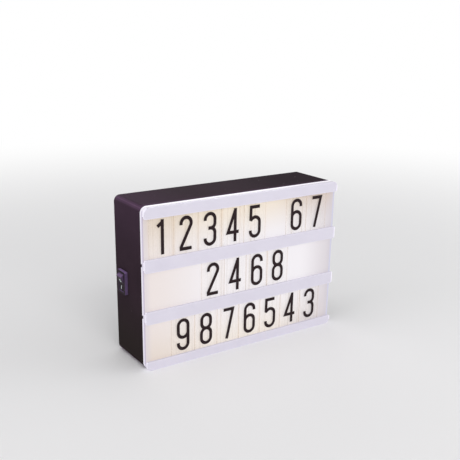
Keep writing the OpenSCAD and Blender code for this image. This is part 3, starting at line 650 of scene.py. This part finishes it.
def inked_area(lines, pen):
    """The area that pen lines cover: flat corners in mm and the faces between them."""
    points, outlines = [], []
    for line, closed in lines:
        for face in stroke_faces(line, closed, pen):
            outlines.append(range(len(points), len(points) + len(face)))
            points += face
    corners, _, faces, _, _, owners = delaunay_2d_cdt(points, [], outlines, 0, SAME_CORNER)
    return corners, [face for face, owner in zip(faces, owners) if owner]


print("a bar of the 7 takes", len(stroke_faces(*DIGITS["7"][0], PEN)), "faces")

# %% [markdown]
# Ink is thin but not flat, so the inked area is drawn out by a few hundredths of a millimetre
# into a closed strip. A printed image would be flat and would need a map of the tile. Blender
# makes the strip's side faces in an order that changes from run to run, so the faces are sorted
# by their place along a slanting line.
#
# The ink itself is a brownish black. Where it was rolled on thinly, a little of the light behind
# it comes through, so its colour wavers slightly.

# %% Ink on the tiles
FLAT_TURN = 0.01  # radians between faces that count as one
ALONG = Vector((0.53, 0.29, 0.79))  # slanting, so that no two faces share a place along it
INK_T, RISE = 0.03, 0.3  # mm
ROWS = {"tile_top_": "1234567", "tile_middle_": "2468", "tile_bottom_": "9876543"}


def solid_piece(name, shape, body, finish, smooth=False):
    """Turns a bmesh into a finished piece that rides on a body."""
    mesh = bpy.data.meshes.new(name)
    shape.to_mesh(mesh)
    shape.free()
    if smooth:
        mesh.shade_smooth()
    mesh.materials.append(finish)
    piece = new_object(name, mesh)
    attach(piece, body)
    return piece


def printed(name, lines, pen, thick_mm, place, body, finish):
    """Ink in the shape of pen lines, on a face at place, in metres, that looks towards -Y."""
    flat, inked = inked_area(lines, pen)
    x, y, z = place
    shape = bmesh.new()
    corners = [shape.verts.new((x + p.x * MM, y, z + p.y * MM)) for p in flat]
    for face in inked:
        shape.faces.new([corners[i] for i in face])
    bmesh.ops.delete(shape, geom=[v for v in shape.verts if not v.link_faces], context="VERTS")
    bmesh.ops.dissolve_limit(shape, angle_limit=FLAT_TURN, verts=shape.verts[:],
                             edges=shape.edges[:])
    solid = bmesh.ops.extrude_face_region(shape, geom=shape.faces[:])
    front = [item for item in solid["geom"] if isinstance(item, bmesh.types.BMVert)]
    bmesh.ops.translate(shape, verts=front, vec=(0, -thick_mm * MM, 0))
    bmesh.ops.recalc_face_normals(shape, faces=shape.faces[:])
    shape.faces.sort(key=lambda face: face.calc_center_median().dot(ALONG))
    return solid_piece(name, shape, body, finish)


ink = Finish("digit_ink")
ink_colour = ink.mix(ink.noise(0.5, 3), from_srgb(34, 22, 25), from_srgb(46, 32, 35))
ink_finish = ink.surface(ink_colour, 0.45, Specular_IOR_Level=0.12)

for row, word in ROWS.items():
    for number, digit in enumerate(word, 1):
        tile = row + str(number)
        low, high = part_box(tile)
        place = ((low.x + high.x) / 2, low.y, (low.z + high.z) / 2 + RISE * MM)
        printed("digit_on_" + tile, DIGITS[digit], PEN, INK_T, place, tile,
                ink_finish)
    print(row, "carries", word)

# %% [markdown]
# ## Soft edges
# No moulded edge is perfectly sharp, and it is the rounded edge that catches the light. The
# solids could be modelled again with round edges, but a Bevel modifier rounds them without
# touching their meshes. A Weld comes first, because the packed meshes are cut apart along their
# sharp edges.

# %% Bevels
WELD_AT = 0.002  # mm
BEVEL_STEPS = 3
SHARP_EDGE = 40  # degrees
SOFT_EDGES = {  # mm
    "rear_casing": 0.35, "front_plate": 0.25, "battery_door": 0.12, "switch_housing": 0.25,
    "switch_rocker": 0.15, "led_board": 0.05, "leds": 0.1, **{rail: 0.35 for rail in RAILS},
}

for name, width in SOFT_EDGES.items():
    weld = nodes[name].modifiers.new("weld", "WELD")
    weld.merge_threshold = WELD_AT * MM
    bevel = nodes[name].modifiers.new("round_edges", "BEVEL")
    bevel.width = width * MM
    bevel.segments = BEVEL_STEPS
    bevel.limit_method = "ANGLE"
    bevel.angle_limit = math.radians(SHARP_EDGE)
    bevel.harden_normals = True
print(len(SOFT_EDGES), "solids with soft edges")

# %% [markdown]
# ## Switch plastic
# The switch is a bought part in its own plastic. Its outward faces look nearly black. The sides
# of its frame and the ends of the rocker are painted a clear violet, a painted light, palest on
# top.
# Each face could have a material slot of its own, but the direction in which the surface looks
# tells them apart as well, and turns softly at the edges.

# %% Switch plastic
LOOKS_OUT, LOOKS_TOP = (0.75, 0.95), (0.3, 0.8)
TOP_LIT_PALER = 1.9
POLISH_PALER, POLISH_SHARE = 1.5, 0.3


def switch_plastic(name, face, lit_flank, roughness):
    """Switch plastic in one tint where it looks outwards, and on its flanks a paler tint that is
    painted light.
    """
    skin = Finish(name)
    nx, _, nz = skin.directions()
    cloud = skin.noise(0.3, 3)
    # Painted light: the flanks are a paler violet, palest where they look upwards.
    colour = skin.coats(lit_flank, (skin.ramp(nz, *LOOKS_TOP), shaded(lit_flank, TOP_LIT_PALER)),
                        (skin.ramp(nx * -1, *LOOKS_OUT), face),
                        (cloud * POLISH_SHARE, shaded(face, POLISH_PALER)))
    grain = skin.bump(skin.noise(5.0, 2), 0.006)
    return skin.surface(colour, (cloud - 0.5) * 0.1 + roughness, Normal=grain, IOR=1.5,
                        Specular_IOR_Level=0.03, Specular_Tint=VIOLET_GLOSS)


# The second colour of each is the painted light on the flanks.
switch_finish = switch_plastic("switch_plastic", from_srgb(44, 35, 42),
                               from_srgb(108, 88, 126), 0.4)
rocker_finish = switch_plastic("rocker_plastic", from_srgb(38, 30, 37),
                               from_srgb(92, 74, 104), 0.34)
print("the rocker's material has", len(rocker_finish.node_tree.nodes), "nodes")

# %% Finishes on the outside
OUTSIDE = {
    "rear_casing": casing_finish, "battery_door": door_finish, "front_plate": plate_finish,
    "switch_housing": switch_finish, "switch_rocker": rocker_finish,
}
for name, finish in OUTSIDE.items():
    nodes[name].material_slots[0].material = finish
print(len(OUTSIDE), "outer nodes finished")

# %% [markdown]
# ## Marks on the rocker
# A ring for off and a bar for on are pressed into the rocker and filled with white paint.
# Painting them by shader would need a mask for each, while the pen that wrote the digits can
# write them too. They lie on the two halves of the rocker's face, which lean away from the valley
# between them, so each mark is laid flat on its half and rides with it.

# %% Rocker marks
TILT = math.radians(11)
PIVOT = Vector((-73.5, 9.25, 50.5))
FACE_OUT = 2.4  # mm from the pivot to the plane of each half
VALLEY = FACE_OUT / math.cos(TILT)
MARK_T = 0.04  # mm
MARKS = {  # pen lines, half of the face (1 is the upper one), mm from the valley, pen in mm
    "mark_off": ([(bow(0, 0, 0.9, 0, 345, 24), True)], 1, 1.7, 0.5),
    "mark_on": ([([(0, -1.2), (0, 1.2)], False)], -1, 2.9, 0.6),
}


def rocker_face(half, along_mm):
    """The place and turn of a mark on one half of the face, with the switch on."""
    lean = Matrix.Rotation(-half * TILT, 4, "Y")
    at_rest = Matrix.Rotation(-TILT, 4, "Y")
    outwards = Matrix.Rotation(math.radians(-90), 4, "Z")
    slide = Matrix.Translation(Vector((0, 0, half * along_mm)) * MM)
    valley = Matrix.Translation(Vector((-VALLEY, 0, 0)) * MM)
    return Matrix.Translation(PIVOT * MM) @ at_rest @ valley @ lean @ slide @ outwards


paint = Finish("mark_paint")
paint_colour = paint.mix(paint.noise(1.5, 2), from_srgb(206, 214, 222), from_srgb(232, 238, 243))
mark_finish = paint.surface(paint_colour, 0.5)

for name, (lines, half, along_mm, pen) in MARKS.items():
    mark = printed(name, lines, pen, MARK_T, (0, 0, 0), "rocker", mark_finish)
    mark.data.transform(rocker_face(half, along_mm))
    print(name, "at", [round(c / MM, 1) for c in rocker_face(half, along_mm).translation], "mm")

# %% [markdown]
# ## Metals
# Springs, contacts, screws and solder are plated steel, brass, zinc and tin. A metal's colour is
# its reflection, so flat grey looks like plastic. The shader's anisotropy could draw the
# reflection out, but it needs a direction at each point. Here the tone and the roughness follow
# fine streaks, which run along the sheet where it was rolled and in no direction on wire and
# solder.

# %% Metals
def metal(name, light, dark, roughness, per_mm=0.8, drawn=(1, 1, 1)):
    """Plated metal, with streaks along the axes for which drawn is small."""
    skin = Finish(name)
    streak = skin.noise(per_mm, 2, drawn=drawn)
    colour = skin.mix(skin.ramp(streak, *MOST), dark, light)
    return skin.surface(colour, (streak - 0.5) * 0.25 + roughness, Metallic=1.0,
                        Normal=skin.bump(streak, 0.004))


spring_steel = metal("spring_steel", from_srgb(206, 204, 200), from_srgb(170, 168, 166), 0.25)
plate_steel = metal("plate_steel", from_srgb(208, 204, 194), from_srgb(176, 172, 164), 0.3,
                    0.6, (1, 1, 8))
brass = metal("brass", from_srgb(222, 186, 108), from_srgb(186, 146, 78), 0.28, 0.6, (8, 1, 1))
zinc = metal("zinc", from_srgb(178, 180, 186), from_srgb(140, 142, 148), 0.38)
tin = metal("solder_tin", from_srgb(200, 202, 206), from_srgb(160, 162, 168), 0.3, 1.5)
print("metals:", spring_steel.name, plate_steel.name, brass.name, zinc.name, tin.name)

# %% [markdown]
# ## Springs
# Each cell is pushed onto its contact by a cone of steel wire. The solid model has a plain
# cylinder there. A Screw modifier could wind a coil, but not one whose radius and pitch change on
# the way. So a coil is a tube along a spiral whose radius shrinks towards the cell. Its first and
# last turn lie flat, as on a real spring, so that it stands square on the plate and presses
# evenly.

# %% Tube along a line
SIDES = 10


def close_rings(shape, rings):
    """Joins rings of corners into a tube and caps both ends."""
    for a, b in zip(rings, rings[1:]):
        for k in range(SIDES):
            shape.faces.new((a[k], a[(k + 1) % SIDES], b[(k + 1) % SIDES], b[k]))
    shape.faces.new(rings[0][::-1])
    shape.faces.new(rings[-1])


def tube(shape, path, radius):
    """Adds a closed round tube along a path of points in metres to a bmesh."""
    turns = [2 * math.pi * k / SIDES for k in range(SIDES)]
    rings = []
    side = (path[1] - path[0]).orthogonal().normalized()
    for i, point in enumerate(path):
        ahead = (path[min(i + 1, len(path) - 1)] - path[max(i - 1, 0)]).normalized()
        side = (side - ahead * side.dot(ahead)).normalized()
        other = ahead.cross(side)
        rings.append([shape.verts.new(point + (side * math.cos(t) + other * math.sin(t)) * radius)
                      for t in turns])
    close_rings(shape, rings)


print("tubes have", SIDES, "sides")

# %% Coils
CELLS = 3
TURNS = 6
STEPS = 24  # to a turn
SPRING_L, WIRE_R, WIDE_R, NARROW_R = 5.1, 0.3, 2.85, 1.9  # mm


def coil_path(foot, push, y, z):
    """Points in metres along one spring, from its wide foot towards the cell."""
    path = []
    for k in range(TURNS * STEPS + 1):
        turn = k / STEPS
        rise = min(max((turn - 1) / (TURNS - 2), 0), 1)
        height = WIRE_R + (SPRING_L - 2 * WIRE_R) * rise
        radius = WIDE_R + (NARROW_R - WIDE_R) * rise
        angle = 2 * math.pi * turn
        path.append(Vector((foot + push * height * MM, y + radius * math.cos(angle) * MM,
                            z + radius * math.sin(angle) * MM)))
    return path


coils = bmesh.new()
for i in range(1, CELLS + 1):
    low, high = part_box(f"battery_{i}")
    push = 1 if i % 2 else -1
    foot = (low.x if push > 0 else high.x) - push * SPRING_L * MM
    tube(coils, coil_path(foot, push, (low.y + high.y) / 2, (low.z + high.z) / 2), WIRE_R * MM)
coil_piece = solid_piece("coil_springs", coils, "light_box", spring_steel,
                         smooth=True)
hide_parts("contact_springs")
print(CELLS, "coils of", TURNS, "turns")

# %% [markdown]
# ## Cells
# A cell is a steel can in a printed plastic jacket. The jacket ends just short of both ends,
# where the bare can shows. It could be a sleeve of its own, but it is only a tenth of a
# millimetre thick. The place along the cell, from 0 to 1, tells the shader where jacket turns to
# steel. Every second cell lies the other way round, so its material counts from the other end.

# %% Cells
JACKET, JACKET_EDGE = (0.012, 0.955), 0.003  # shares of the cell's length
BAND, BAND_EDGE = (0.78, 0.83), 0.005
SCUFFED, SCUFF_SHARE = (0.55, 0.75), 0.35


def cell_finish(name, turned_round):
    """A green jacket with a pale band, and bare steel at both ends."""
    skin = Finish(name)
    along = skin.share()[0]
    along = 1 - along if turned_round else along
    bare = 1 - skin.within(along, *JACKET, JACKET_EDGE)
    band = skin.within(along, *BAND, BAND_EDGE)
    scuff = skin.noise(0.7, 4)
    colour = skin.coats(from_srgb(58, 104, 72), (band, from_srgb(214, 214, 204)),
                        (skin.ramp(scuff, *SCUFFED) * SCUFF_SHARE, from_srgb(120, 140, 124)),
                        (bare, from_srgb(192, 192, 190)))
    return skin.surface(colour, (scuff - 0.5) * 0.3 + 0.3, Metallic=bare,
                        Normal=skin.bump(scuff, 0.01))


for i in range(1, CELLS + 1):
    nodes[f"battery_{i}"].material_slots[0].material = cell_finish(f"cell_jacket_{i}", i % 2 == 0)
print(CELLS, "cells")

# %% [markdown]
# ## Light board
# The board is white on both sides, so that it throws light forwards. Six lights sit along it.
# Each is a white block with a round yellow window, which glows. Windows could be small discs, but
# they are flush with the blocks. So they are drawn by the distance from the nearest light's
# middle: the remainder of X over the pitch finds it without a list of places.

# %% Board, lights and resistors
BOARD_Z = 52.0  # mm, as all below but the share
LED_PITCH = 15.0
WINDOW_R = 1.7
TRACE_OFF, TRACE_W = 3.1, 0.35
CAP_FROM = 1.15
SOFT_EDGE = 0.1
FIBRE_SHARE = 0.15


def remainder(skin, x, pitch, offset):
    """The distance along X from the nearest of the places that repeat at a pitch."""
    steps = skin.add("ShaderNodeMath", {0: x / pitch + offset}, operation="FRACT")
    return (steps - 0.5) * pitch


mask = Finish("board_mask")
from_trace = abs(abs(mask.place()[2] - BOARD_Z) - TRACE_OFF)
trace = 1 - mask.ramp(from_trace, TRACE_W, TRACE_W + SOFT_EDGE)
board_colour = mask.coats(from_srgb(232, 233, 228), (trace, from_srgb(216, 220, 208)),
                          (mask.noise(1.2, 3) * FIBRE_SHARE, from_srgb(208, 206, 190)))
board_finish = mask.surface(board_colour, 0.35, Normal=mask.bump(trace, 0.03))

block = Finish("led_package")
x, _, z = block.place()
sideways = remainder(block, x, LED_PITCH, 0.0)
upwards = z - BOARD_Z
from_middle = (sideways * sideways + upwards * upwards) ** 0.5
window = 1 - block.ramp(from_middle, WINDOW_R, WINDOW_R + SOFT_EDGE)
led_colour = block.mix(window, from_srgb(238, 236, 230), from_srgb(240, 206, 96))
led_glow = block.mix(window, (0, 0, 0), (0.9, 0.8, 0.55))
led_finish = block.surface(led_colour, 0.3, Emission_Color=led_glow, Emission_Strength=1.0,
                           Normal=block.bump(window, 0.1))

chip = Finish("resistor_chip")
from_chip = abs(remainder(chip, chip.place()[0], 2 * LED_PITCH, 0.5))
end = chip.ramp(from_chip, CAP_FROM, CAP_FROM + SOFT_EDGE / 2)
chip_colour = chip.mix(end, from_srgb(30, 30, 34), from_srgb(196, 198, 202))
resistor_finish = chip.surface(chip_colour, 0.35, Metallic=end, Normal=chip.bump(end, 0.03))
print("lights", LED_PITCH, "mm apart, at Z", BOARD_Z)

# %% [markdown]
# ## Sheet and wires
# The sheet behind the board is white film with a soft shine. Wires have a PVC cover whose surface
# wavers a little, because it is drawn hot around the strands. Both could do with one flat colour,
# as they are hardly seen, but a broad noise costs nothing and takes the stiffness out of them.

# %% Sheet and wires
sheet = Finish("reflector_film")
wave = sheet.noise(0.06, 2)
sheet_colour = sheet.mix(wave, from_srgb(236, 235, 231), from_srgb(244, 243, 240))
reflector_finish = sheet.surface(sheet_colour, 0.22, Normal=sheet.bump(wave, 0.3))


def wire_cover(name, colour):
    """A PVC cover with a faintly uneven tone and surface."""
    skin = Finish(name)
    waver = skin.noise(0.5, 2)
    return skin.surface(skin.mix(waver, shaded(colour, 0.85), colour), (waver - 0.5) * 0.2 + 0.4,
                        Normal=skin.bump(waver, 0.03))


INSIDE = {
    "led_board": board_finish, "leds": led_finish, "resistors": resistor_finish,
    "reflector": reflector_finish, "wire_red": wire_cover("red_cover", from_srgb(196, 52, 46)),
    "wire_black": wire_cover("black_cover", from_srgb(36, 36, 38)),
    "wire_switch": wire_cover("white_cover", from_srgb(226, 224, 218)),
    "contact_plates": plate_steel, "contact_springs": spring_steel, "switch_contact": brass,
    "switch_terminals": brass, "casing_screws": zinc, "board_screws": zinc,
}
for name, finish in INSIDE.items():
    nodes[name].material_slots[0].material = finish
print(len(INSIDE), "inner nodes finished")

# %% [markdown]
# ## Solder
# Where a wire meets the board, a tag or a switch blade there is shiny solder. It wets the metal
# round the wire and climbs it in a hollow slope. A ball would be quick, but it would look like a
# cold, badly made joint. Here each joint is the slope's profile turned about the wire.

# %% Solder slope
SLOPE = [  # radius and height in mm
    (1.3, 0.0), (1.0, 0.12), (0.85, 0.35), (0.78, 0.7), (0.7, 0.95), (0.4, 1.05),
]


def solder_joint(shape, place, out):
    """Adds a solder slope at a place in metres, around a wire that leaves towards out."""
    turn = Vector((0, 0, 1)).rotation_difference(Vector(out)).to_matrix().to_4x4()
    at = Matrix.Translation(place) @ turn
    angles = [2 * math.pi * k / SIDES for k in range(SIDES)]
    rings = [[shape.verts.new(at @ Vector((r * math.cos(a) * MM, r * math.sin(a) * MM, h * MM)))
              for a in angles] for r, h in SLOPE]
    close_rings(shape, rings)


def middle_z(name):
    """Half the height of a node, in metres."""
    low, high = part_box(name)
    return (low.z + high.z) / 2


print("a slope", SLOPE[-1][1], "mm high and", 2 * SLOPE[0][0], "mm wide")

# %% Solder joints
blades_low, blades_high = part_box("switch_terminals")
plates_low, plates_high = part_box("contact_plates")
board_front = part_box("led_board")[0].y
blade_y = (blades_low.y + blades_high.y) / 2
wire_half = (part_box("wire_red")[1].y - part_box("wire_red")[0].y) / 2
board_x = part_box("wire_black")[0].x + wire_half

joints = bmesh.new()
for z in (blades_low.z, blades_high.z):
    solder_joint(joints, Vector((blades_high.x, blade_y, z)), (1, 0, 0))
solder_joint(joints, Vector((plates_high.x, blade_y, middle_z("battery_1"))), (1, 0, 0))
solder_joint(joints, Vector((plates_low.x, blade_y, middle_z("battery_3"))), (-1, 0, 0))
for wire in ("wire_switch", "wire_black"):
    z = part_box(wire)[1].z - wire_half
    solder_joint(joints, Vector((board_x, board_front, z)), (0, -1, 0))
solid_piece("solder_joints", joints, "light_box", tin, smooth=True)
print("solder at the board's wire holes, at x", round(board_x / MM, 1), "mm")
